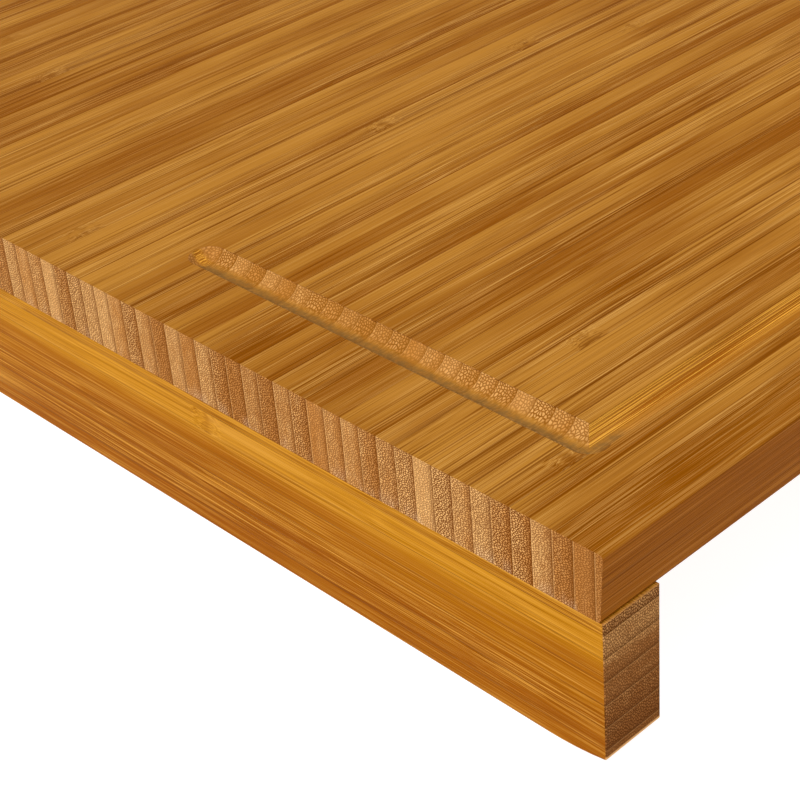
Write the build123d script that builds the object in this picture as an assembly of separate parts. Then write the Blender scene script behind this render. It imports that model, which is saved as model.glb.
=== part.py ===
from build123d import *
import math
import os

# Bamboo cutting board: a deck of upright strips glued side by side, on two end rails.
# X runs across the strips, Y runs along them and Z is up. The origin is on the surface
# that the board stands on, under its middle. All sizes are in millimetres.

# ---- deck ----
deck_width = 300.0           # underneath, where it meets the rails
deck_length = 450.0
deck_thickness = 15.0
side_lean = 0.9              # each long side leans out this far by the top
strip_count = 62             # full strips, counted from the right-hand long side
edge_strip_width = 1.0       # what trimming left of the outermost strip on that side
strips_per_node = 2
side_arris = 0.7             # easing of the long sides' edges
end_arris = 0.25             # easing all round each end face

# ---- rails, one across each end, each a stack of flat layers ----
rail_height = 33.0
rail_thickness = 15.0
rail_overhang = 0.65         # each rail end stands this far proud of the long side
rail_top_layer = 2.5         # part layer left where the rail was sawn from its panel
rail_layer = 5.3
rail_layer_count = 7
rail_end_rise = 1.55         # the underside is sanded up towards each rail end
rail_end_run = 14.0
rail_end_arris = 0.6
rail_long_arris = 0.3

# ---- juice groove, round-bottomed and one depth all the way, narrower along the side ----
groove_depth = 2.5
cross_leg_radius = 4.75      # of the section, an arc of a circle
side_leg_radius = 3.9
cross_leg_margin = 23.8      # end face to the centre line of a cross leg
side_leg_margin = 23.1       # right-hand long side to the centre line of the side leg
cross_leg_reach = 135.7      # right-hand long side to the closed tip of a cross leg

# ---- countersunk wood screws, driven up through each rail ----
screw_strips = (6, 23, 38, 55)   # strips that take a screw, each in the strip's middle
screw_length = 35.0
screw_radius = 1.75
screw_head_radius = 3.5
screw_tip_length = 4.0
screw_tip_radius = 0.2
screw_recess = 6.0           # head face above the rail's underside
screw_clearance = 0.05
counterbore_radius = 4.2
slot_width = 0.9             # cross slot in the head
slot_length = 4.4
slot_depth = 1.1

# ---- worked out ----
strip_width = (deck_width - edge_strip_width) / strip_count
deck_bottom = rail_height
deck_top = rail_height + deck_thickness
right_side = deck_width / 2
full_strips_start = right_side - edge_strip_width
rail_length = deck_width + 2 * rail_overhang
rail_y = (deck_length - rail_thickness) / 2
groove_y = deck_length / 2 - cross_leg_margin
side_leg_x = right_side - side_leg_margin
cross_half_width = math.sqrt(cross_leg_radius**2 - (cross_leg_radius - groove_depth) ** 2)
tip_x = right_side - cross_leg_reach + cross_half_width
screw_head_height = screw_head_radius - screw_radius
cutting_block = 2 * deck_length
upward = (Align.CENTER, Align.CENTER, Align.MIN)

rail_sides = {"front": -1, "rear": 1}


def slab(low, high, axis):
    """A large block between two planes square to one axis, for cutting out one layer."""
    size = [cutting_block, cutting_block, cutting_block]
    centre = [0.0, 0.0, 0.0]
    size[axis] = high - low
    centre[axis] = (low + high) / 2
    return Pos(*centre) * Box(*size)


def strip_span(index):
    """Left and right x of one full strip. The last one takes in the left side's lean."""
    right = full_strips_start - index * strip_width
    left = right - strip_width
    return left - side_lean if index == strip_count - 1 else left, right


def screw_x(index):
    left, right = strip_span(index)
    return (left + right) / 2


def groove():
    """What the groove takes out: a cross leg at each end, joined by one leg on the right."""
    groove_floor = deck_top - groove_depth
    cross_z = groove_floor + cross_leg_radius
    side_z = groove_floor + side_leg_radius
    cross_leg = Rot(0, 90, 0) * Cylinder(cross_leg_radius, side_leg_x - tip_x)
    path = Pos(side_leg_x, 0, side_z) * Rot(90, 0, 0) * Cylinder(side_leg_radius, 2 * groove_y)
    for side in rail_sides.values():
        y = side * groove_y
        path += Pos((tip_x + side_leg_x) / 2, y, cross_z) * cross_leg
        for x in (tip_x, side_leg_x):
            path += Pos(x, y, cross_z) * Sphere(cross_leg_radius)
    return path


def screw_hole(side, index):
    """Counterbore, countersink and shank hole, through a rail and on into one strip."""
    x = screw_x(index)
    y = side * rail_y
    shank = screw_radius + screw_clearance
    head = screw_head_radius + screw_clearance
    depth = screw_recess + screw_length + screw_clearance
    hole = Cylinder(shank, depth, align=upward)
    hole += Pos(0, 0, screw_recess) * Cone(head, shank, head - shank, align=upward)
    hole += Cylinder(counterbore_radius, screw_recess, align=upward)
    return Pos(x, y, 0) * hole


def screw(side, index):
    """A countersunk screw, head down, with a cross slot and a pointed tip."""
    shank_length = screw_length - screw_head_height - screw_tip_length
    tip_start = screw_length - screw_tip_length
    body = Cone(screw_head_radius, screw_radius, screw_head_height, align=upward)
    body += Pos(0, 0, screw_head_height) * Cylinder(screw_radius, shank_length, align=upward)
    body += Pos(0, 0, tip_start) * Cone(screw_radius, screw_tip_radius, screw_tip_length, align=upward)
    body -= Box(slot_length, slot_width, 2 * slot_depth)
    body -= Box(slot_width, slot_length, 2 * slot_depth)
    return Pos(screw_x(index), side * rail_y, screw_recess) * body


def deck_blank():
    """The whole deck before it is taken apart into strips, with its groove and pilot holes."""
    lower = deck_width / 2
    upper = lower + side_lean
    corners = [(-lower, deck_bottom), (lower, deck_bottom), (upper, deck_top), (-upper, deck_top)]
    outline = make_face(Polyline(*corners, close=True))
    blank = extrude(Plane.XZ * outline, deck_length / 2, both=True)
    blank = fillet(blank.edges().filter_by(Axis.Y), side_arris)
    for end_face in (blank.faces().sort_by(Axis.Y)[0], blank.faces().sort_by(Axis.Y)[-1]):
        blank = fillet(end_face.edges(), end_arris)
    blank -= groove()
    for side in rail_sides.values():
        for index in screw_strips:
            blank -= screw_hole(side, index)
    return blank


def rail_blank(side):
    """One whole rail: a bar whose underside curves up at both ends, with its screw holes."""
    half = rail_length / 2
    flat = half - rail_end_run
    corners = [(-half, rail_end_rise), (-half, rail_height), (half, rail_height), (half, rail_end_rise)]
    outline = Polyline(*corners)
    outline += TangentArc((flat, 0), (half, rail_end_rise), tangent=(1, 0))
    outline += Line((-flat, 0), (flat, 0))
    outline += TangentArc((-flat, 0), (-half, rail_end_rise), tangent=(-1, 0))
    bar = extrude(Plane.XZ * make_face(outline), rail_thickness / 2, both=True)
    end_arrises = bar.edges().filter_by(Axis.Y).group_by(Axis.Z)[1]
    bar = fillet(end_arrises, rail_end_arris)
    long_arrises = bar.edges().filter_by_position(Axis.Z, 0, rail_end_rise).filter_by(Axis.Y, reverse=True)
    bar = fillet(long_arrises, rail_long_arris)
    bar = Pos(0, side * rail_y, 0) * bar
    for index in screw_strips:
        bar -= screw_hole(side, index)
    return bar


def layer_spans():
    """Low and high z of each rail layer, from the top one down."""
    spans = []
    high = rail_height
    for number in range(rail_layer_count):
        thickness = rail_top_layer if number == 0 else rail_layer
        low = 0.0 if number == rail_layer_count - 1 else high - thickness
        spans.append((low, high))
        high = low
    return spans


def save(name, pieces):
    solids = [solid for piece in pieces for solid in piece.solids()]
    shape = solids[0] if len(solids) == 1 else Compound(children=solids)
    shape.label = name
    export_step(shape, f"parts/{name}.step")


os.makedirs("parts", exist_ok=True)

deck = deck_blank()
save("deck_edge_strip", [deck & slab(full_strips_start, right_side + side_lean, 0)])
for first in range(0, strip_count, strips_per_node):
    members = range(first, first + strips_per_node)
    node = f"deck_strips_{first + 1:02d}_{first + strips_per_node:02d}"
    save(node, [deck & slab(*strip_span(index), 0) for index in members])

for end, side in rail_sides.items():
    rail = rail_blank(side)
    for number, span in enumerate(layer_spans(), start=1):
        save(f"{end}_rail_layer_{number}", [rail & slab(*span, 2)])
    save(f"{end}_rail_screws", [screw(side, index) for index in screw_strips])
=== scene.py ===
import math

import bpy
from mathutils import Matrix, Vector


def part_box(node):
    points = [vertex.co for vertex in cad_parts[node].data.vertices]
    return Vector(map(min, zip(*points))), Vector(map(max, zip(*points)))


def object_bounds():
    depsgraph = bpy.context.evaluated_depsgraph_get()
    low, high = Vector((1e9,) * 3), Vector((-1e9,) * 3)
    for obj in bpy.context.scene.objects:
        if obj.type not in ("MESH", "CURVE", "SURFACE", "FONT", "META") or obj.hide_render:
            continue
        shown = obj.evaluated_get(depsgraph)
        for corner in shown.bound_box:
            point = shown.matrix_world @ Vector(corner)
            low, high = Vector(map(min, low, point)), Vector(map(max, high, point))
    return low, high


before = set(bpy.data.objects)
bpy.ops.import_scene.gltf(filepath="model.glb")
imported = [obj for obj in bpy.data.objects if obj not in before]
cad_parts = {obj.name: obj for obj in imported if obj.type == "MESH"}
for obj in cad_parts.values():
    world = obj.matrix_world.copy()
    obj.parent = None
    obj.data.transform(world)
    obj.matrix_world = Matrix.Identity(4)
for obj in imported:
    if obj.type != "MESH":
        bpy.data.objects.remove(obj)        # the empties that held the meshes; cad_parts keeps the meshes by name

# Looks for a bamboo cutting board on two rails. The CAD nodes keep their shapes. This script
# gives them solid, three-dimensional bamboo patterns, so that a strip's end grain, its faces
# and the walls of the groove all show the same fibres cut in different directions.
# Lengths are in metres where they place things and in millimetres inside the materials.

cad_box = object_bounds()

# ---- places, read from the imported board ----
MM = 0.001
board_low = Vector(cad_box[0])
board_high = Vector(cad_box[1])
deck_low, deck_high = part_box("deck_edge_strip")
first_strips_low, first_strips_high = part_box("deck_strips_01_02")
second_layer_low, second_layer_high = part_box("front_rail_layer_2")

side_x = deck_high.x / MM                # the deck's long side
end_y = deck_high.y / MM                 # its end face
top_z = deck_high.z / MM
bottom_z = deck_low.z / MM
strip_pitch = (first_strips_high.x - first_strips_low.x) / 2 / MM
strips_start = first_strips_high.x / MM
layer_pitch = (second_layer_high.z - second_layer_low.z) / MM
layers_start = second_layer_high.z / MM + layer_pitch

# ---- marks in the bamboo: across the grain, and how long each runs along it ----
FIBRE = (0.15, 60.0)
STREAK = (0.32, 48.0)
BAND = (1.5, 120.0)
DARK_LINE = (0.34, 150.0)
CLOUD = (10.0, 50.0)
STAIN = (28.57, 83.33)       # broad darker and paler patches over the whole deck
SIDE_LEG_FIBRE = (1 / 6, 50.0)  # in the side leg of the groove, streaks of its painted highlight

# ---- end grain and glue ----
BUNDLE_DEPTH = 0.65          # vascular bundles, through a strip
BUNDLE_WIDTH = 0.45          # and over its width
GLUE = 0.09

# ---- culm nodes, the joints of the bamboo cane ----
NODE_GAP = 620.0             # from one to the next on the same strip
NODE_LENGTH = 1.4
NODE_SWIRL = 5.6             # fibres swirl this far from one
NODE_WOBBLE = 2.0            # how far its line wanders along the grain
NODE_GLOW = 50.0             # the wood is paler for this far on one side of it
FRONT_NODE = (1.0, 44.0)     # one on the front rail: its layer from the top, and its place

# ---- how each strip differs ----
STRIP_SHIFT = 900.0          # the most that a strip's pattern is moved along the grain
STRIP_STEP = 13.7            # how far apart two neighbours lie in the solid pattern

# ---- shapes that the colours follow ----
GROOVE_INNER_Y = 192.8       # where the cross legs' inner edges lie, from the middle of the deck
GROOVE_CLEAR = 12.0          # the groove stays further than this from every side and end
SIDE_STAIN = 20.0            # the deck's top darkens over this distance from a long side
DUST_HEIGHT = 4.0            # sanding dust low down on the deck's end
RAIL_EASED = 2.2             # height of the eased lower edge of a rail's end; a highlight is painted up to it
RAIL_FOOT = 16.0             # a rail darkens downwards from this height

# Each seed gives one piece its own mix of pale and dark strips. A strip's random numbers come
# from the seed plus the strip's number, so the seeds lie further apart than the strips' count.
DECK_SEED = 7.0
FRONT_RAIL_SEED = 307.0
REAR_RAIL_SEED = 401.0


def srgb(red, green, blue):
    """A colour given as the eye sees it, 0 to 255, as linear light with alpha."""
    channels = []
    for value in (red, green, blue):
        share = value / 255
        linear = share / 12.92 if share <= 0.04045 else ((share + 0.055) / 1.055) ** 2.4
        channels.append(linear)
    return (*channels, 1.0)


deck_look = {
    "pale": srgb(180, 122, 44),
    "deep": srgb(138, 76, 4),
    "light_fibre": srgb(208, 155, 80),
    "dark_fibre": srgb(116, 60, 0),
    "knot": srgb(118, 64, 6),
    "pith_pale": srgb(232, 180, 114),
    "pith_deep": srgb(196, 132, 66),
    "bundle": srgb(104, 52, 6),
    "glue": srgb(100, 50, 2),
    "tone_spread": 0.8,
    "dense_spread": 0.5,
    "line_strength": 0.75,
    "lined": 0.0,
    "knot_glow": 0.15,
    "knot_strength": 0.3,
    "speckle_low": 0.65,
    "speckle_high": 1.0,
}

rail_look = {
    "pale": srgb(180, 117, 6),
    "deep": srgb(145, 76, 0),
    "light_fibre": srgb(212, 152, 60),
    "dark_fibre": srgb(128, 66, 0),
    "knot": srgb(142, 76, 4),
    "pith_pale": srgb(204, 152, 92),
    "pith_deep": srgb(160, 102, 50),
    "bundle": srgb(86, 44, 10),
    "glue": srgb(76, 36, 2),
    "tone_spread": 0.5,
    "dense_spread": 0.2,
    "line_strength": 0.6,
    "lined": 0.15,
    "knot_glow": 0.5,
    "knot_strength": 0.45,
    "speckle_low": 0.8,
    "speckle_high": 1.0,
}

# the long sides' colours: their own deeper brown with painted shade
side_brown_and_shade = srgb(120, 58, 0)
side_light_fibre_in_shade = srgb(168, 104, 32)
side_dark_fibre_in_shade = srgb(88, 42, 0)
sanding_dust = srgb(212, 184, 150)
cut_gold = srgb(200, 134, 44)
# painted shade for the groove's cross legs: an even wash and a blotchy darker one
groove_shade_colour = srgb(122, 88, 46)
blotchy_shade_brown = srgb(116, 86, 46)
# painted highlight and painted shade for the groove's side leg, with dark fibres in the highlight
lit_wall_dark_fibre = srgb(150, 84, 14)
painted_wall_highlight = srgb(236, 174, 66)
painted_outer_wall_shade = srgb(124, 70, 12)
rail_top_gold = srgb(224, 162, 54)
# painted highlight for the rails' eased lower ends, and paler colour for the ledge
pale_ledge_and_edge_highlight = srgb(224, 172, 112)
oil_sheen = srgb(255, 196, 110)


class Recipe:
    """One material's node tree. Each method returns a socket that the next one can take."""

    def __init__(self, name):
        self.material = bpy.data.materials.new(name)
        self.material.use_nodes = True
        self.tree = self.material.node_tree
        self.tree.nodes.clear()
        self.position = self.point_in_mm()
        normal = self.add("ShaderNodeTexCoord").outputs["Normal"]
        self.facing = self.add("ShaderNodeSeparateXYZ", {0: normal}).outputs

    def add(self, kind, inputs=None, **settings):
        node = self.tree.nodes.new(kind)
        for key, value in settings.items():
            setattr(node, key, value)
        for key, value in (inputs or {}).items():
            self.feed(node.inputs[key], value)
        return node

    def feed(self, socket, value):
        if isinstance(value, bpy.types.NodeSocket):
            self.tree.links.new(value, socket)
        else:
            socket.default_value = value

    def point_in_mm(self):
        point = self.add("ShaderNodeTexCoord").outputs["Object"]
        scaled = self.add("ShaderNodeVectorMath", {0: point, "Scale": 1 / MM}, operation="SCALE")
        return self.add("ShaderNodeSeparateXYZ", {0: scaled.outputs[0]}).outputs

    def maths(self, operation, *values):
        node = self.add("ShaderNodeMath", operation=operation)
        for socket, value in zip(node.inputs, values):
            self.feed(socket, value)
        return node.outputs[0]

    def times(self, first, *others):
        product = first
        for factor in others:
            product = self.maths("MULTIPLY", product, factor)
        return product

    def plus(self, first, *others):
        total = first
        for term in others:
            total = self.maths("ADD", total, term)
        return total

    def minus(self, first, second):
        return self.maths("SUBTRACT", first, second)

    def over(self, first, second):
        return self.maths("DIVIDE", first, second)

    def size_of(self, value):
        return self.maths("ABSOLUTE", value)

    def ramp(self, value, start, end, low=0.0, high=1.0):
        """low where value is at start, high where it is at end, smooth between."""
        inputs = {"Value": value, "From Min": start, "From Max": end, "To Min": low, "To Max": high}
        node = self.add("ShaderNodeMapRange", inputs, interpolation_type="SMOOTHSTEP")
        return node.outputs["Result"]

    def vector(self, x, y, z):
        return self.add("ShaderNodeCombineXYZ", {"X": x, "Y": y, "Z": z}).outputs[0]

    def noise(self, vector, scale=1.0, detail=2.0, roughness=0.5):
        inputs = {"Vector": vector, "Scale": scale, "Detail": detail, "Roughness": roughness}
        return self.add("ShaderNodeTexNoise", inputs).outputs["Fac"]

    def cells(self, x, y):
        """How far a point is from its cell's edge, in a flat pattern of cells."""
        inputs = {"Vector": self.vector(x, y, 0.0), "Scale": 1.0}
        settings = {"voronoi_dimensions": "2D", "feature": "DISTANCE_TO_EDGE"}
        return self.add("ShaderNodeTexVoronoi", inputs, **settings).outputs["Distance"]

    def random(self, value):
        """Three random numbers for each whole number."""
        node = self.add("ShaderNodeTexWhiteNoise", {"W": value}, noise_dimensions="1D")
        return self.add("ShaderNodeSeparateColor", {"Color": node.outputs["Color"]}).outputs

    def mix(self, factor, first, second):
        node = self.add("ShaderNodeMix", data_type="RGBA")
        self.feed(node.inputs[0], factor)
        self.feed(node.inputs[6], first)
        self.feed(node.inputs[7], second)
        return node.outputs[2]

    def bump(self, height, strength, distance):
        """distance is how deep the relief goes, in metres."""
        inputs = {"Strength": strength, "Distance": distance, "Height": height}
        return self.add("ShaderNodeBump", inputs).outputs[0]

    def surface(self, inputs):
        """Ends the tree with one shader, and returns the finished material."""
        shader = self.add("ShaderNodeBsdfPrincipled", inputs)
        self.add("ShaderNodeOutputMaterial", {"Surface": shader.outputs[0]})
        return self.material


class Bamboo(Recipe):
    """Laminated bamboo. along runs with the grain and across over a strip's width, both in
    millimetres. layer counts strips, and its fraction, dense, goes from a strip's soft inner
    side to the hard side that grew under the skin of the culm."""

    def __init__(self, name, look, grain_axis):
        super().__init__(name)
        self.look = look
        self.end_grain = self.ramp(self.size_of(self.facing[grain_axis]), 0.08, 0.45)

    def lay_strips(self, layer, along, across, pitch, seed, node_at=None):
        """Numbers the strips and gives each its own place in the solid pattern. node_at, a
        layer and a place along it, puts a culm node there."""
        self.pitch = pitch
        self.along = along
        self.width = across
        self.index = self.maths("FLOOR", layer)
        self.dense = self.maths("FRACT", layer)
        self.tone, shift, self.lively = self.random(self.plus(self.index, seed))[:3]
        self.depth = self.plus(self.times(self.dense, pitch), self.times(self.index, STRIP_STEP))
        shift = self.times(shift, STRIP_SHIFT)
        if node_at:
            node_layer, node_place = node_at
            chosen = self.maths("COMPARE", self.index, node_layer, 0.5)
            to_node = self.minus(NODE_GAP / 2 - node_place, shift)
            shift = self.plus(shift, self.times(chosen, to_node))
        self.run = self.plus(along, shift)
        self.cross_nodes()
        self.draw_grain()

    def cross_nodes(self):
        """A culm node crosses each strip here and there, and the fibres swirl as they pass."""
        cycle = self.maths("FRACT", self.over(self.run, NODE_GAP))
        offset = self.times(self.minus(cycle, 0.5), NODE_GAP)
        wobble = self.noise(self.vector(self.depth, self.width, self.index), 0.6, 1.0)
        offset = self.plus(offset, self.times(wobble, NODE_WOBBLE))
        distance = self.size_of(offset)
        self.knot = self.ramp(distance, NODE_LENGTH, 0.0)
        self.glow = self.times(self.ramp(offset, NODE_GLOW, 2.0), self.ramp(offset, -1.0, 2.0))

        eddies = self.vector(self.times(self.run, 0.2), self.times(self.depth, 0.5), self.index)
        swirl = self.times(self.noise(eddies, 1.0, 1.0), self.ramp(distance, NODE_SWIRL, 0.0))
        drift = self.noise(self.vector(self.times(self.run, 0.012), self.index, 0.0))
        sway = self.plus(self.times(drift, 1.2), self.times(swirl, 0.9))
        self.depth = self.plus(self.depth, self.times(sway, 0.5))
        self.width = self.plus(self.width, sway)

    def stretched(self, mark):
        """A place in a pattern whose marks are drawn out along the grain."""
        spread, length = mark
        return self.vector(
            self.over(self.depth, spread), self.over(self.width, spread), self.over(self.run, length)
        )

    def draw_grain(self):
        self.fibres = self.noise(self.stretched(FIBRE), 1.0, 3.0, 0.6)
        self.streaks = self.noise(self.stretched(STREAK), 1.0, 2.0, 0.6)
        self.bands = self.noise(self.stretched(BAND))
        own_density = self.ramp(self.lively, 0.0, 1.0, 0.15, 1.0)
        self.densest = self.times(self.ramp(self.dense, 0.2, 1.0), own_density)

    def dark_lines(self):
        """Sparse dark lines, more of them towards a strip's dense side."""
        line_cut = self.ramp(self.densest, 0.0, 1.0, 0.64, 0.53)
        line_cut = self.minus(line_cut, self.times(self.lively, 0.05))
        line_depth = self.minus(self.noise(self.stretched(DARK_LINE), 1.0, 1.0), line_cut)
        return self.ramp(line_depth, 0.0, 0.08)

    def warmth_of(self, darker):
        """From 0, pale, to 1, deep: a strip's own tone, its bands, dense side and clouds."""
        spread, length = CLOUD
        clouds = self.vector(self.over(self.run, length), self.over(self.depth, spread), self.index)
        warmth = self.plus(
            self.times(self.tone, self.look["tone_spread"]),
            self.times(self.bands, 0.5),
            self.times(self.densest, self.look["dense_spread"]),
            self.times(self.noise(clouds), 0.8),
            darker,
        )
        return self.ramp(warmth, 0.45, 1.9)

    def long_face(self, warmth):
        """The strip's tone under light and dark fibres, dark lines and the culm nodes."""
        look = self.look
        face = self.mix(warmth, look["pale"], look["deep"])
        own_lines = self.ramp(self.lively, 0.0, 1.0, 0.35, 0.8)
        lined = self.times(self.ramp(self.bands, 0.36, 0.62, 0.3, 1.0), own_lines)
        lined = self.plus(lined, look["lined"])
        for marks, full_at, shade in (
            (self.streaks, 0.68, "light_fibre"),
            (self.streaks, 0.32, "dark_fibre"),
            (self.fibres, 0.66, "light_fibre"),
            (self.fibres, 0.34, "dark_fibre"),
        ):
            strength = self.times(self.ramp(marks, 0.5, full_at), lined)
            face = self.mix(strength, face, look[shade])
        strength = self.times(self.dark_lines(), look["line_strength"])
        face = self.mix(strength, face, look["dark_fibre"])
        glow = self.times(self.glow, self.ramp(self.bands, 0.4, 0.6, 0.3, 1.0), look["knot_glow"])
        face = self.mix(glow, face, look["light_fibre"])
        broken = self.ramp(self.streaks, 0.42, 0.56, 0.15, 1.0)
        return self.mix(self.times(self.knot, broken, look["knot_strength"]), face, look["knot"])

    def end_face(self, warmth, darker):
        """End grain: closely packed pale bundles with brown pith between them."""
        look = self.look
        cell_depth = self.over(self.depth, BUNDLE_DEPTH)
        cell_width = self.over(self.width, BUNDLE_WIDTH)
        self.gaps = self.ramp(self.cells(cell_depth, cell_width), 0.32, 0.06)
        patches = self.vector(self.depth, self.times(self.width, 0.35), self.index)
        deeper = self.ramp(self.plus(warmth, self.noise(patches, 0.7)), 0.1, 1.6)
        ends = self.mix(deeper, look["pith_pale"], look["pith_deep"])
        own_speckle = self.ramp(self.lively, 0.0, 1.0, look["speckle_low"], look["speckle_high"])
        ends = self.mix(self.times(self.gaps, own_speckle), ends, look["bundle"])
        ends = self.mix(self.ramp(self.dense, 0.65, 1.0, 0.0, 0.45), ends, look["bundle"])
        ends = self.mix(self.ramp(self.dense, 0.08, 0.0, 0.0, 0.35), ends, look["pith_pale"])
        return self.mix(self.ramp(darker, 0.0, 1.0, 0.0, 0.5), ends, look["bundle"])

    def colour_with_glue(self, darker):
        """The whole pattern, with a thin brown line of glue at the dense side of each strip."""
        warmth = self.warmth_of(darker)
        colour = self.mix(self.end_grain, self.long_face(warmth), self.end_face(warmth, darker))
        from_glue = self.times(self.minus(1.0, self.dense), self.pitch)
        self.glue_line = self.ramp(from_glue, 3.0 * GLUE, GLUE)
        patchy = self.noise(self.vector(self.times(self.along, 0.03), self.index, 0.0))
        strength = self.ramp(patchy, 0.35, 0.65, 0.1, 0.6)
        strength = self.maths("MAXIMUM", strength, self.times(self.end_grain, 0.85))
        return self.mix(self.times(self.glue_line, strength), colour, self.look["glue"])

    def finish(self, colour):
        """An oiled satin face, drier on the end grain, with the grain felt as a faint relief."""
        pits = self.times(self.gaps, self.end_grain, 0.5)
        relief = self.minus(self.times(self.fibres, 0.5), pits)
        relief = self.minus(relief, self.times(self.glue_line, 0.8))
        satin = self.ramp(self.fibres, 0.2, 0.8, 0.36, 0.5)
        return self.surface({
            "Base Color": colour,
            "Roughness": self.plus(satin, self.times(self.end_grain, 0.22)),
            "IOR": 1.45,
            "Specular IOR Level": 0.015,
            "Specular Tint": oil_sheen,
            "Normal": self.bump(relief, 0.35, 0.12 * MM),
        })


# ---- the deck ----

def tone_and_shade_sides(wood, colour, on_side):
    """The long sides are a deeper brown, partly their own colour and partly painted shade, with their own
    light and dark fibres in darker, shaded colours.
    """
    colour = wood.mix(wood.times(on_side, 0.95), colour, side_brown_and_shade)
    light = wood.times(on_side, wood.ramp(wood.fibres, 0.46, 0.62))
    colour = wood.mix(light, colour, side_light_fibre_in_shade)
    dark = wood.times(on_side, wood.ramp(wood.fibres, 0.5, 0.36))
    return wood.mix(dark, colour, side_dark_fibre_in_shade)


def dust_ends(wood, colour):
    """Pale sanding dust stays low down on the end grain, more in some strips."""
    x, y, z = wood.position[:3]
    low = wood.ramp(z, bottom_z + DUST_HEIGHT, bottom_z)
    drifts = wood.noise(wood.vector(wood.times(x, 0.22), y, wood.times(z, 0.1)))
    dusty = wood.ramp(drifts, 0.48, 0.62)
    on_bundles = wood.ramp(wood.gaps, 0.6, 0.0, 0.05, 0.35)
    return wood.mix(wood.times(low, dusty, wood.end_grain, on_bundles), colour, sanding_dust)


def inside_groove(wood):
    """1 on the groove's floor and walls: just below the top, and away from sides and ends."""
    sunk = wood.ramp(wood.position[2], top_z - 0.02, top_z - 0.2)
    sunk = wood.times(sunk, wood.ramp(wood.facing[2], 0.2, 0.4))
    for axis, edge in ((0, side_x), (1, end_y)):
        from_middle = wood.size_of(wood.position[axis])
        clear = wood.ramp(from_middle, edge - GROOVE_CLEAR, edge - GROOVE_CLEAR - 2.0)
        sunk = wood.times(sunk, clear)
    return sunk


def shade_cross_legs(wood, colour, sunk):
    """Painted shade in the cross legs: a dull grey-brown wash on the floor and on the walls that face the
    back, away from the key light, and blotchy darker painted shade where those walls turn furthest
    towards the back.
    """
    x, y, z = wood.position[:3]
    outer = wood.ramp(wood.size_of(y), GROOVE_INNER_Y - 2.0, GROOVE_INNER_Y + 2.0)
    bottom = wood.times(sunk, outer, wood.ramp(wood.facing[0], 0.35, 0.05))
    # painted shade: an even wash on the floor and on walls that face the back, away from the key light
    even_shade_mask = wood.times(bottom, wood.ramp(wood.facing[1], -0.3, 0.1, 0.0, 0.45))
    colour = wood.mix(even_shade_mask, colour, groove_shade_colour)
    blotches = wood.noise(wood.vector(x, y, z), 0.7, 4.0, 0.65)
    # blotchy painted shade, darkest on the walls that face the back
    blotchy_shade_mask = wood.ramp(wood.plus(wood.facing[1], wood.times(blotches, 0.6)), -0.05, 0.55)
    blotchy_shade_mask = wood.times(blotchy_shade_mask, bottom, wood.ramp(blotches, 0.38, 0.6, 0.15, 0.6))
    return wood.mix(blotchy_shade_mask, colour, blotchy_shade_brown)


def light_and_shade_side_leg(wood, colour, sunk):
    """A painted highlight of bright, streaky fibres down the side leg's inner wall, the walls that face
    +x, and painted shade, a darker brown, on the steep outer walls that face −x.
    """
    x, y, z = wood.position[:3]
    spread, length = SIDE_LEG_FIBRE
    fine = wood.vector(wood.over(x, spread), wood.over(y, length), wood.over(z, spread))
    fine = wood.noise(fine, 1.0, 2.0, 0.6)
    inner_wall = wood.ramp(wood.facing[0], -0.05, 0.25)
    # painted highlight on the walls that face +x, weaker on end grain
    lit_wall = wood.times(sunk, inner_wall, wood.ramp(wood.end_grain, 0.8, 0.0))
    dark = wood.times(lit_wall, wood.ramp(fine, 0.54, 0.4, 0.1, 0.85))
    colour = wood.mix(dark, colour, lit_wall_dark_fibre)
    light = wood.times(lit_wall, wood.ramp(fine, 0.48, 0.6, 0.0, 0.85))
    colour = wood.mix(light, colour, painted_wall_highlight)
    # painted shade on the steep walls that face −x
    outer_wall_shade_mask = wood.times(sunk, wood.ramp(wood.facing[0], -0.2, -0.55), 0.5)
    return wood.mix(outer_wall_shade_mask, colour, painted_outer_wall_shade)


def deck_bamboo():
    wood = Bamboo("deck_bamboo", deck_look, grain_axis=1)
    x, y, z = wood.position[:3]
    layer = wood.over(wood.minus(x, strips_start), strip_pitch)
    wood.lay_strips(layer, y, z, strip_pitch, DECK_SEED)

    # the long sides, deeper in tone: partly their own colour, partly painted shade
    on_side = wood.times(wood.ramp(wood.size_of(wood.facing[0]), 0.9, 0.99), 0.5)
    spread, length = STAIN
    stains = wood.noise(wood.vector(wood.over(x, spread), wood.over(y, length), 0.0))
    stains = wood.ramp(stains, 0.35, 0.65, -0.3, 0.3)
    from_side = wood.minus(side_x, wood.size_of(x))
    near_side = wood.ramp(from_side, SIDE_STAIN, 2.0, 0.0, 0.3)
    colour = wood.colour_with_glue(wood.plus(on_side, stains, near_side))
    colour = tone_and_shade_sides(wood, colour, on_side)
    colour = dust_ends(wood, colour)

    sunk = inside_groove(wood)
    colour = wood.mix(wood.times(sunk, 0.3), colour, cut_gold)
    # painted shade in the groove's cross legs
    colour = shade_cross_legs(wood, colour, sunk)
    # painted highlight and painted shade in the groove's side leg
    colour = light_and_shade_side_leg(wood, colour, sunk)
    return wood.finish(colour)


# ---- the rails ----

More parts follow.
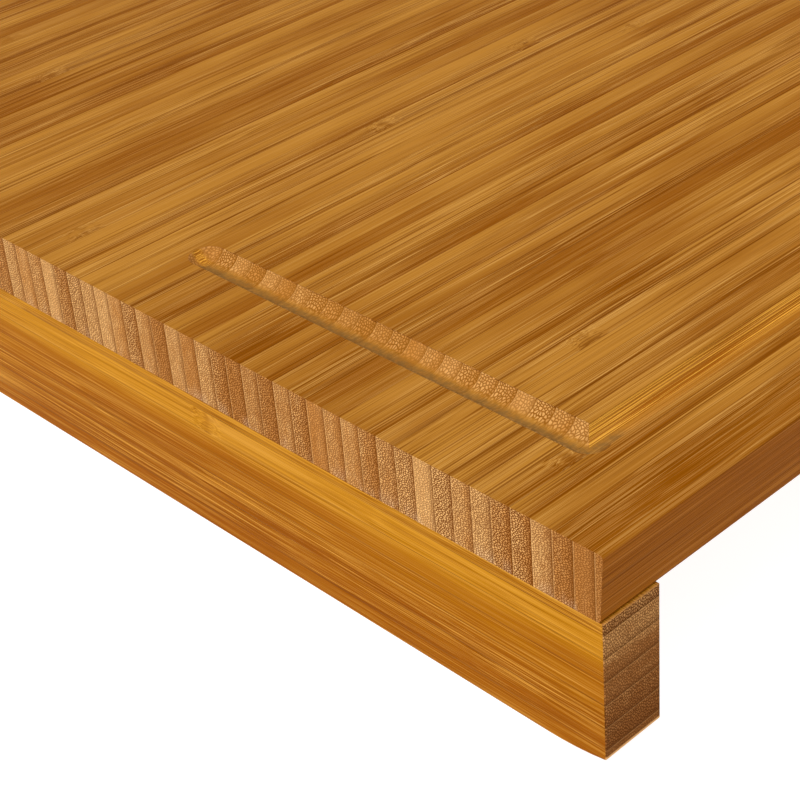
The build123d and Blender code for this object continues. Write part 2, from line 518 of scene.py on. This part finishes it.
def pale_ledge_and_highlight_ends(wood, colour):
    """A pale band painted low on each sawn end as the highlight of its eased lower edge, and paler colour
    on the narrow upward-facing ledge that the rail leaves at the deck's side."""
    beside_deck = wood.ramp(wood.size_of(wood.position[0]), side_x - 1.0, side_x)
    ledge = wood.times(wood.ramp(wood.facing[2], 0.5, 0.9), beside_deck)
    # painted highlight: a pale band low on the end grain, where the eased edge would catch the light
    eased = wood.times(wood.end_grain, wood.ramp(wood.position[2], RAIL_EASED + 0.3, RAIL_EASED))
    pale = wood.maths("MAXIMUM", wood.times(eased, 0.8), wood.times(ledge, 0.5))
    return wood.mix(pale, colour, pale_ledge_and_edge_highlight)


def rail_bamboo(name, seed, node_at=None):
    """The top layers are paler than the rest, and a rail darkens further towards its foot."""
    wood = Bamboo(name, rail_look, grain_axis=0)
    x, y, z = wood.position[:3]
    layer = wood.over(wood.minus(layers_start, z), layer_pitch)
    wood.lay_strips(layer, x, y, layer_pitch, seed, node_at)

    lower = wood.ramp(z, bottom_z - 1.2 * layer_pitch, bottom_z - 2.2 * layer_pitch)
    towards_foot = wood.ramp(z, RAIL_FOOT, 2.0, 0.0, 0.25)
    darker = wood.plus(wood.ramp(lower, 0.0, 1.0, -0.2, 0.35), towards_foot)
    colour = wood.colour_with_glue(darker)
    upper = wood.ramp(lower, 1.0, 0.0, 0.0, 0.3)
    on_face = wood.ramp(wood.end_grain, 1.0, 0.0)
    pale_fibres = wood.times(upper, wood.ramp(wood.fibres, 0.4, 0.6), on_face)
    colour = wood.mix(pale_fibres, colour, rail_top_gold)
    return wood.finish(pale_ledge_and_highlight_ends(wood, colour))


def screw_steel():
    """Zinc-plated steel, mottled, with a fine grain."""
    recipe = Recipe("screw_steel")
    point = recipe.vector(*recipe.position[:3])
    mottle = recipe.noise(point, 2.5, 3.0)
    return recipe.surface({
        "Base Color": recipe.mix(mottle, srgb(150, 150, 148), srgb(196, 196, 192)),
        "Metallic": 1.0,
        "Roughness": recipe.ramp(mottle, 0.3, 0.7, 0.28, 0.42),
        "Normal": recipe.bump(recipe.noise(point, 12.0), 0.2, 0.05 * MM),
    })


def dress_board():
    deck = deck_bamboo()
    rails = {
        "front": rail_bamboo("front_rail_bamboo", FRONT_RAIL_SEED, FRONT_NODE),
        "rear": rail_bamboo("rear_rail_bamboo", REAR_RAIL_SEED),
    }
    steel = screw_steel()
    for name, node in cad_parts.items():
        first_word = name.split("_")[0]
        material = steel if name.endswith("screws") else rails.get(first_word, deck)
        node.data.materials.clear()
        node.data.materials.append(material)


# ---- stage, light and camera ----

def floor_paper():
    recipe = Recipe("floor_paper")
    mottle = recipe.noise(recipe.vector(*recipe.position[:3]), 0.02)
    return recipe.surface({
        "Base Color": recipe.mix(mottle, srgb(148, 148, 147), srgb(152, 152, 151)),
        "Roughness": 0.8,
        "Emission Color": (1.0, 1.0, 1.0, 1.0),
        "Emission Strength": 0.92,
    })


def pale_floor():
    """A large square just below the rails' feet, so that the two never share a plane."""
    reach = 8.0
    level = board_low.z - 0.1 * MM
    turns = ((-1, -1), (1, -1), (1, 1), (-1, 1))
    corners = [(x * reach, y * reach, level) for x, y in turns]
    mesh = bpy.data.meshes.new("floor")
    mesh.from_pydata(corners, [], [(0, 1, 2, 3)])
    mesh.materials.append(floor_paper())
    floor = bpy.data.objects.new("floor", mesh)
    bpy.context.scene.collection.objects.link(floor)


def softbox(name, direction, distance, size, power):
    """A square soft light that shines at the middle of the board."""
    light = bpy.data.lights.new(name, "AREA")
    light.size = size
    light.energy = power
    lamp = bpy.data.objects.new(name, light)
    bpy.context.scene.collection.objects.link(lamp)
    aim = Vector(direction).normalized()
    lamp.location = aim * distance
    lamp.rotation_euler = aim.to_track_quat("Z", "Y").to_euler()


def studio_world(overhead, horizon):
    """A dim ceiling that brightens to a pale wall just above the floor."""
    wall_top = 0.12          # heights on a sphere of radius 1
    ceiling_start = 0.3
    world = bpy.data.worlds.new("studio")
    world.use_nodes = True
    nodes = world.node_tree.nodes
    links = world.node_tree.links
    direction = nodes.new("ShaderNodeTexCoord")
    split = nodes.new("ShaderNodeSeparateXYZ")
    fade = nodes.new("ShaderNodeMapRange")
    fade.interpolation_type = "SMOOTHSTEP"
    fade.inputs["From Min"].default_value = wall_top
    fade.inputs["From Max"].default_value = ceiling_start
    fade.inputs["To Min"].default_value = horizon
    fade.inputs["To Max"].default_value = overhead
    links.new(direction.outputs["Generated"], split.inputs[0])
    links.new(split.outputs["Z"], fade.inputs["Value"])
    background = nodes["Background"]
    background.inputs["Color"].default_value = (1.0, 1.0, 1.0, 1.0)
    links.new(fade.outputs["Result"], background.inputs["Strength"])
    bpy.context.scene.world = world


def photo_camera():
    """Looks down at the front right-hand corner of the deck, with a slight roll to the left.
    Its place is given from where that corner would be if the long side didn't lean out."""
    side_lean = 0.9 * MM
    from_corner = Vector((173.16, -192.57, 203.2)) * MM
    heading = Matrix.Rotation(math.radians(48.73), 4, "Z")
    tilt = Matrix.Rotation(math.radians(56.67), 4, "X")
    roll = Matrix.Rotation(math.radians(-5.106), 4, "Z")
    data = bpy.data.cameras.new("camera")
    data.lens = 88.57
    data.sensor_width = 36.0
    data.dof.use_dof = False
    camera = bpy.data.objects.new("camera", data)
    bpy.context.scene.collection.objects.link(camera)
    corner = Vector((board_high.x - side_lean, board_low.y, board_high.z))
    camera.matrix_world = Matrix.Translation(corner + from_corner) @ heading @ tilt @ roll
    bpy.context.scene.camera = camera


dress_board()
pale_floor()
studio_world(overhead=0.22, horizon=0.95)
softbox("key_softbox", direction=(-0.02, -0.56, 0.83), distance=4.0, size=2.4, power=142.0)
softbox("side_softbox", direction=(0.5, 0.1, 0.86), distance=1.8, size=1.0, power=8.0)
photo_camera()
bpy.context.scene.view_settings.view_transform = "Standard"
